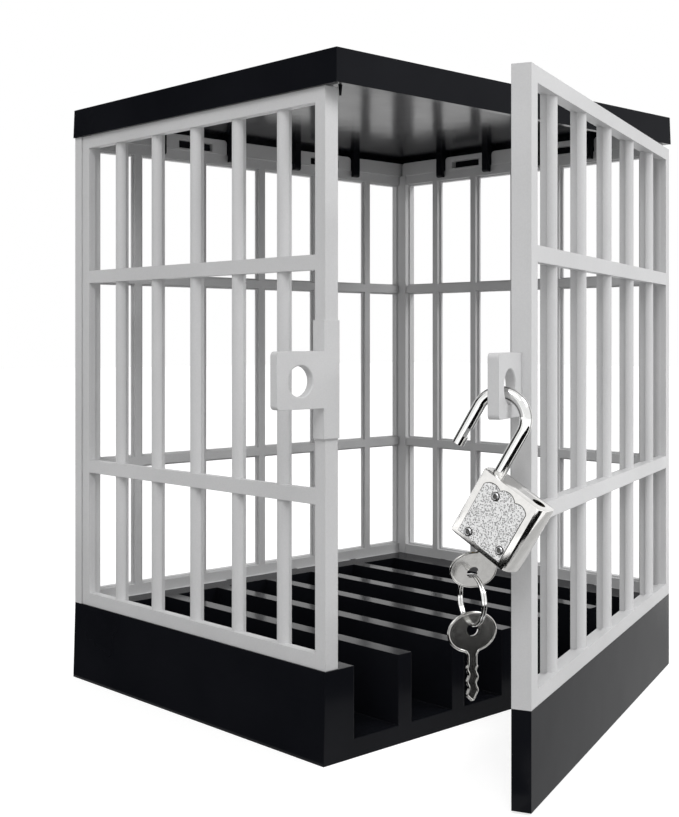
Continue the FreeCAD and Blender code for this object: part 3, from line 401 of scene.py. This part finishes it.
def dotted(name, base, radius, spacing, seed, material):
    # Scatters small domes over a mesh with Geometry Nodes.
    tree = bpy.data.node_groups.new(name, "GeometryNodeTree")
    for label, kind in (("Geometry", "NodeSocketGeometry"), ("Dot Radius", "NodeSocketFloat"),
                        ("Spacing", "NodeSocketFloat"), ("Seed", "NodeSocketInt"),
                        ("Material", "NodeSocketMaterial")):
        tree.interface.new_socket(label, in_out="INPUT", socket_type=kind)
    tree.interface.new_socket("Geometry", in_out="OUTPUT", socket_type="NodeSocketGeometry")
    made, link = tree.nodes.new, tree.links.new
    start, end = made("NodeGroupInput"), made("NodeGroupOutput")
    spread = made("GeometryNodeDistributePointsOnFaces")
    spread.distribute_method = "POISSON"
    spread.inputs["Density Max"].default_value = 6.0
    dome = made("GeometryNodeMeshIcoSphere")
    dome.inputs["Subdivisions"].default_value = 1
    vary = made("FunctionNodeRandomValue")
    vary.inputs[2].default_value = 0.6
    vary.inputs[3].default_value = 1.25
    flat = made("ShaderNodeCombineXYZ")
    squash = made("ShaderNodeMath")
    squash.operation = "MULTIPLY"
    squash.inputs[1].default_value = 0.3
    place = made("GeometryNodeInstanceOnPoints")
    both = made("GeometryNodeJoinGeometry")
    real = made("GeometryNodeRealizeInstances")
    paint = made("GeometryNodeSetMaterial")
    link(start.outputs["Geometry"], spread.inputs["Mesh"])
    link(start.outputs["Spacing"], spread.inputs["Distance Min"])
    link(start.outputs["Seed"], spread.inputs["Seed"])
    link(start.outputs["Dot Radius"], dome.inputs["Radius"])
    link(vary.outputs[1], squash.inputs[0])
    for axis in "XY":
        link(vary.outputs[1], flat.inputs[axis])
    link(squash.outputs[0], flat.inputs["Z"])
    link(spread.outputs["Points"], place.inputs["Points"])
    link(spread.outputs["Rotation"], place.inputs["Rotation"])
    link(dome.outputs["Mesh"], place.inputs["Instance"])
    link(flat.outputs[0], place.inputs["Scale"])
    link(place.outputs["Instances"], real.inputs["Geometry"])
    link(real.outputs["Geometry"], both.inputs["Geometry"])
    link(both.outputs["Geometry"], paint.inputs["Geometry"])
    link(start.outputs["Material"], paint.inputs["Material"])
    link(paint.outputs["Geometry"], end.inputs["Geometry"])
    holder = bpy.data.objects.new(name, base)
    bpy.context.scene.collection.objects.link(holder)
    modifier = holder.modifiers.new("dots", "NODES")
    modifier.node_group = tree
    values = {"Dot Radius": radius, "Spacing": spacing, "Seed": seed, "Material": material}
    for item in tree.interface.items_tree:
        if item.in_out == "INPUT" and item.name in values:
            modifier[item.identifier] = values[item.name]
    mesh = plain_copy(holder)
    bpy.data.objects.remove(holder)
    return mesh


def stipple_panel(name, side):
    outline = panel_outline()
    face_y = side * (CASE_HALF + 0.14)
    shape = bmesh.new()
    low = [(x, side * (CASE_HALF - 0.1), z) for x, z in outline]
    high = [(x, face_y, z) for x, z in outline]
    skin(shape, (low, high))
    slab = mesh_from(name + "_slab", shape, Matrix.Identity(4))
    slab.transform(Matrix.Scale(1 / MM, 4))
    field = bmesh.new()
    corners = [field.verts.new((x, face_y, z)) for x, z in outline]
    top = field.faces.new(corners if side > 0 else corners[::-1])
    top.normal_update()
    if top.normal.y * side < 0:
        top.normal_flip()
    bmesh.ops.triangulate(field, faces=field.faces)
    flat = bpy.data.meshes.new(name + "_field")
    field.to_mesh(flat)
    field.free()
    dots = dotted(name + "_dots", flat, 0.19, 0.4, 7 if side < 0 else 11, STIPPLED)
    joined = bmesh.new()
    joined.from_mesh(slab)
    joined.from_mesh(dots)
    for face in joined.faces:
        face.material_index = 0
    joined.transform(LOCK @ Matrix.Scale(MM, 4))
    mesh = bpy.data.meshes.new(name)
    joined.to_mesh(mesh)
    joined.free()
    mesh.materials.append(STIPPLED)
    mesh.shade_smooth()
    mesh.set_sharp_from_angle(angle=math.radians(50))
    new_piece(name, mesh, "lock_body", STIPPLED)


def disc(shape, x, z, radius, low, high, side):
    turns = [2 * math.pi * n / 28 for n in range(28)]
    skin(shape, [[(x + radius * math.cos(t), side * y, z + radius * math.sin(t)) for t in turns]
                 for y in (low, high)])


def rivet_middles():
    # Where the CAD's three shanks stand, across the case and up it.
    back = LOCK.inverted()
    groups = []
    for vert in NODES["case_rivets"].data.vertices:
        point = back @ vert.co / MM
        near = [g for g in groups if math.hypot(g[0][0] - point.x, g[0][1] - point.z) < 2.5]
        if near:
            near[0].append((point.x, point.z))
        else:
            groups.append([(point.x, point.z)])
    return [[(min(p[n] for p in group) + max(p[n] for p in group)) / 2 for n in (0, 1)] for group in groups]


def panel_rivet_shade():
    # Painted shade: a dark line round the raised panel where shade falls at its edge, and dark rings round the
    # rivets and dark discs in their holes for the shade there.
    shape = bmesh.new()
    outline = inset_line(panel_outline(), -0.17)
    for side in (-1, 1):
        skin(shape, [[(x, side * (CASE_HALF + rise), z) for x, z in outline] for rise in (-0.1, 0.02)])
        for x, z in rivet_middles():
            disc(shape, x, z, 1.08, CASE_HALF + 0.1, CASE_HALF + 0.2, side)
            disc(shape, x, z, 0.4, CASE_HALF + 0.1, CASE_HALF + 0.36, side)
    new_piece("panel_rivet_shade", mesh_from("panel_rivet_shade", shape, LOCK), "lock_body", SHADE_NICKEL)


def rivet_studs():
    # Hollow rivets with a rolled rim, on both faces, where the CAD's shanks stand.
    face = CASE_HALF + 0.14
    profile = ((0.92, -0.2), (0.92, 0.14), (0.86, 0.34), (0.7, 0.46), (0.54, 0.42), (0.44, 0.24),
               (0.38, -0.1))
    shape = bmesh.new()
    for x, z in rivet_middles():
        for side in (-1, 1):
            loops = []
            for radius, rise in profile:
                loops.append([(x + radius * math.cos(t), side * (face + rise), z + radius * math.sin(t))
                              for t in [2 * math.pi * n / 28 for n in range(28)]])
            skin(shape, loops)
    new_piece("rivet_studs", mesh_from("rivet_studs", shape, LOCK), "lock_body", FINISHES["steel"],
              ("case_rivets",))


# Keys
KEY_A_Y = joint_axis("ring_swing")
KEY_A = place_of(Vector(), KEY_A_Y.cross(LOCK_UP), KEY_A_Y, LOCK_UP)
BOW_HALF = (6.4, 4.65)
BOW_DROP = 0.6
HOLE_UP = -0.6
HOLE_RADIUS = 1.45
NECK_HALF = 1.3
BLADE_HALF = 1.6
PLATE_HALF = 0.22
RIM_RADIUS = 0.31
RIM_IN = 0.29


def key_place(hole, x_way, y_way, z_way):
    # A key's own frame starts at its shoulder, below or above the middle of its hole.
    drop = (BOW_DROP + BOW_HALF[1] - HOLE_UP) * MM
    return place_of(hole + z_way * drop, x_way, y_way, z_way)


def blade_half(z, length, side):
    # Half the width of the blade: a plain neck, then waves, then the tip.
    if z < 2.4:
        return NECK_HALF
    tip = max(0.0, 1 - max(0.0, z - length + 1.7) ** 2 / 3.1)
    wave = 0.27 * math.sin((z - 2.4) * 2.1 + (0.4 if side > 0 else 2.2))
    return min(BLADE_HALF, (BLADE_HALF - 0.22 + wave)) * tip


def key_outline(length):
    points = []
    steps = 46
    for side in (1, -1):
        run = [(side * blade_half(length * n / steps, length, side), length * n / steps)
               for n in range(steps + 1)]
        points += run if side > 0 else run[::-1]
    start = math.acos(NECK_HALF / BOW_HALF[0])
    middle = -BOW_DROP - BOW_HALF[1]
    for n in range(1, 72):
        turn = math.pi - start + (math.pi + 2 * start) * n / 72
        points.append((BOW_HALF[0] * math.cos(turn), middle + BOW_HALF[1] * math.sin(turn)))
    return points


def tube_mesh(name, points, radius, cyclic=True, resolution=4):
    curve = bpy.data.curves.new(name, "CURVE")
    curve.dimensions = "3D"
    curve.bevel_depth = radius
    curve.bevel_resolution = resolution
    curve.use_fill_caps = not cyclic
    spline = curve.splines.new("POLY")
    spline.points.add(len(points) - 1)
    for target, point in zip(spline.points, points):
        target.co = (*point, 1)
    spline.use_cyclic_u = cyclic
    holder = bpy.data.objects.new(name, curve)
    bpy.context.scene.collection.objects.link(holder)
    mesh = plain_copy(holder)
    bpy.data.objects.remove(holder)
    return mesh


def key_piece(name, place, body, node, length):
    outline = key_outline(length)
    shape = bmesh.new()
    edges = []
    middle = -BOW_DROP - BOW_HALF[1] + HOLE_UP
    turns = [2 * math.pi * n / 40 for n in range(40)]
    hole = [(HOLE_RADIUS * math.cos(t), middle + HOLE_RADIUS * math.sin(t)) for t in turns]
    for ring in (inset_line(outline, RIM_IN), hole):
        verts = [shape.verts.new((x, -PLATE_HALF, z)) for x, z in ring]
        edges += [shape.edges.new((verts[n - 1], verts[n])) for n in range(len(verts))]
    bmesh.ops.triangle_fill(shape, use_beauty=True, edges=edges)
    made = bmesh.ops.extrude_face_region(shape, geom=shape.faces[:])
    for vert in [v for v in made["geom"] if isinstance(v, bmesh.types.BMVert)]:
        vert.co.y = PLATE_HALF
    plate = mesh_from(name + "_plate", shape, place)
    rim = tube_mesh(name + "_rim", [(x, 0, z) for x, z in inset_line(outline, RIM_IN)], RIM_RADIUS)
    rim.transform(place @ Matrix.Scale(MM, 4))
    joined = bmesh.new()
    joined.from_mesh(plate)
    joined.from_mesh(rim)
    bmesh.ops.recalc_face_normals(joined, faces=joined.faces)
    mesh = bpy.data.meshes.new(name)
    joined.to_mesh(mesh)
    joined.free()
    mesh.materials.append(FINISHES["key_nickel"])
    mesh.shade_smooth()
    mesh.set_sharp_from_angle(angle=math.radians(40))
    new_piece(name, mesh, body, FINISHES["key_nickel"], (node,))


def both_keys():
    low, high = local_box("key_in_lock", place_of(joint_place("plug_turn"), KEY_A_Y.cross(LOCK_UP), KEY_A_Y,
                                                  LOCK_UP))
    length = high[2] - low[2] - BOW_DROP - 2 * BOW_HALF[1]
    key_piece("key_detail_in_lock", key_place(joint_place("ring_swing"), KEY_A_Y.cross(LOCK_UP), KEY_A_Y,
                                              LOCK_UP), "key_body", "key_in_lock", length)
    level = joint_axis("spare_key_swing")
    key_piece("key_detail_spare", key_place(joint_place("spare_key_swing"), SKY.cross(level), level, -SKY),
              "spare_key_body", "key_spare", length)


RING_WIRE = 0.34
RING_STEP = 0.64


def split_ring():
    # Two turns of one wire that lie side by side, with a step from one to the other and two cut ends.
    low, high = [Vector(corner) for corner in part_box("key_ring")]
    middle = (low + high) / 2
    level = joint_axis("spare_key_swing")
    across = level.cross(SKY)
    radius = (high.z - low.z) / 2 / MM - RING_WIRE
    points = []
    turns = 180
    for n in range(turns + 1):
        turn = 4 * math.pi * n / turns + 0.9
        part = min(1.0, max(0.0, (n / turns - 0.46) / 0.08))
        side = -RING_STEP / 2 + RING_STEP * part * part * (3 - 2 * part)
        points.append((radius * math.cos(turn), radius * math.sin(turn), side))
    mesh = tube_mesh("split_ring", points, RING_WIRE - 0.01, False)
    mesh.transform(place_of(middle, level, SKY, across) @ Matrix.Scale(MM, 4))
    mesh.materials.clear()
    mesh.shade_smooth()
    mesh.set_sharp_from_angle(angle=math.radians(50))
    new_piece("split_ring", mesh, "ring_body", FINISHES["chrome"], ("key_ring",))


# Studio
def add_area(name, place, target, size, power):
    data = bpy.data.lights.new(name, "AREA")
    data.shape = "RECTANGLE"
    data.size, data.size_y = size
    data.energy = power
    lamp = bpy.data.objects.new(name, data)
    lamp.location = place
    lamp.rotation_euler = (Vector(target) - Vector(place)).to_track_quat("-Z", "Y").to_euler()
    bpy.context.scene.collection.objects.link(lamp)
    return lamp


def seen_directly(tree):
    # 1 for rays from the camera and for those that metal and glass send on.
    path = tree.nodes.new("ShaderNodeLightPath")
    total = path.outputs["Is Camera Ray"]
    for name in ("Is Glossy Ray", "Is Transmission Ray"):
        add = tree.nodes.new("ShaderNodeMath")
        add.operation = "MAXIMUM"
        tree.links.new(total, add.inputs[0])
        tree.links.new(path.outputs[name], add.inputs[1])
        total = add.outputs[0]
    return total


def white_world(diffuse_strength):
    world = bpy.data.worlds.new("studio")
    world.use_nodes = True
    bpy.context.scene.world = world
    tree = world.node_tree
    lit = tree.nodes["Background"]
    lit.inputs["Color"].default_value = (1, 1, 1, 1)
    lit.inputs["Strength"].default_value = diffuse_strength
    shown = tree.nodes.new("ShaderNodeBackground")
    shown.inputs["Color"].default_value = (1, 1, 1, 1)
    mix = tree.nodes.new("ShaderNodeMixShader")
    tree.links.new(seen_directly(tree), mix.inputs["Fac"])
    tree.links.new(lit.outputs[0], mix.inputs[1])
    tree.links.new(shown.outputs[0], mix.inputs[2])
    tree.links.new(mix.outputs[0], tree.nodes["World Output"].inputs["Surface"])


def white_floor():
    shape = bmesh.new()
    bmesh.ops.create_grid(shape, x_segments=1, y_segments=1, size=4)
    mesh = bpy.data.meshes.new("floor")
    shape.to_mesh(mesh)
    shape.free()
    floor = bpy.data.objects.new("floor", mesh)
    bpy.context.scene.collection.objects.link(floor)
    material = bpy.data.materials.new("floor_white")
    material.use_nodes = True
    tree = material.node_tree
    shader = tree.nodes["Principled BSDF"]
    shader.inputs["Base Color"].default_value = (0.5, 0.5, 0.5, 1)
    shader.inputs["Roughness"].default_value = 0.9
    shader.inputs["Emission Color"].default_value = (1, 1, 1, 1)
    glow = tree.nodes.new("ShaderNodeMath")
    glow.operation = "MULTIPLY"
    glow.inputs[1].default_value = 0.72
    tree.links.new(seen_directly(tree), glow.inputs[0])
    tree.links.new(glow.outputs[0], shader.inputs["Emission Strength"])
    mesh.materials.append(material)


# How far a flat flag lies above the floor
FLAG_LIFT = 0.0004


def flag(name, corners, material):
    # A card that only shiny faces show. It casts no shadow and the camera does not see it.
    shape = bmesh.new()
    shape.faces.new([shape.verts.new(point) for point in corners])
    mesh = bpy.data.meshes.new(name)
    shape.to_mesh(mesh)
    shape.free()
    card = bpy.data.objects.new(name, mesh)
    bpy.context.scene.collection.objects.link(card)
    card.visible_camera = False
    card.visible_diffuse = False
    card.visible_shadow = False
    mesh.materials.append(material)


def on_floor(*corners):
    return [(x, y, FLAG_LIFT) for x, y in corners]


def before_camera(forward, aside):
    # A point just above the floor, so far in front of the camera and so far to its right.
    way = Vector((math.sin(CAMERA_TURN), math.cos(CAMERA_TURN)))
    right = Vector((math.cos(CAMERA_TURN), -math.sin(CAMERA_TURN)))
    spot = Vector(CAMERA_PLACE[:2]) + way * forward + right * aside
    return (*spot, FLAG_LIFT)


def flag_cloth(name, tone, glow=0.0):
    material = bpy.data.materials.new(name)
    material.use_nodes = True
    shader = material.node_tree.nodes["Principled BSDF"]
    shader.inputs["Base Color"].default_value = (tone, tone, tone, 1)
    shader.inputs["Specular IOR Level"].default_value = 0.0
    shader.inputs["Emission Color"].default_value = (1, 1, 1, 1)
    shader.inputs["Emission Strength"].default_value = glow
    return material


def dark_flags():
    material = flag_cloth("flag_black", 0.004)
    flag("flag_left", ((-1.0, 0.6, 0.0), (-0.75, 1.9, 0.0), (-0.75, 1.9, 1.0), (-1.0, 0.6, 1.0)), material)
    flag("flag_beside", on_floor((-0.3, -0.12), (-0.0756, -0.12), (-0.0756, 0.3), (-0.3, 0.3)), material)
    flag("flag_before", (before_camera(0.1, -0.2), before_camera(0.1, 0.25), before_camera(0.262, 0.25),
                         before_camera(0.262, -0.2)), material)
    # A grey one along the open door, for the door's skirt
    flag("flag_door", on_floor((-0.085, -0.125), (-0.085, -0.19), (0.3, -0.19), (0.3, -0.03),
                               (0.08, -0.055)), flag_cloth("flag_grey", 0.0, 0.6))


set_camera()
paint_nodes()
case_shell()
stipple_panel("stipple_front", -1)
stipple_panel("stipple_back", 1)
panel_rivet_shade()
rivet_studs()
both_keys()
split_ring()
white_world(0.63)
white_floor()
dark_flags()
add_area("right_box", (0.8, -1.35, 1.35), (0, 0, 0.09), (0.9, 0.8), 17)
add_area("left_box", (-1.2, -0.9, 1.5), (0, 0, 0.09), (0.9, 0.9), 13)
bpy.context.scene.view_settings.view_transform = "Standard"
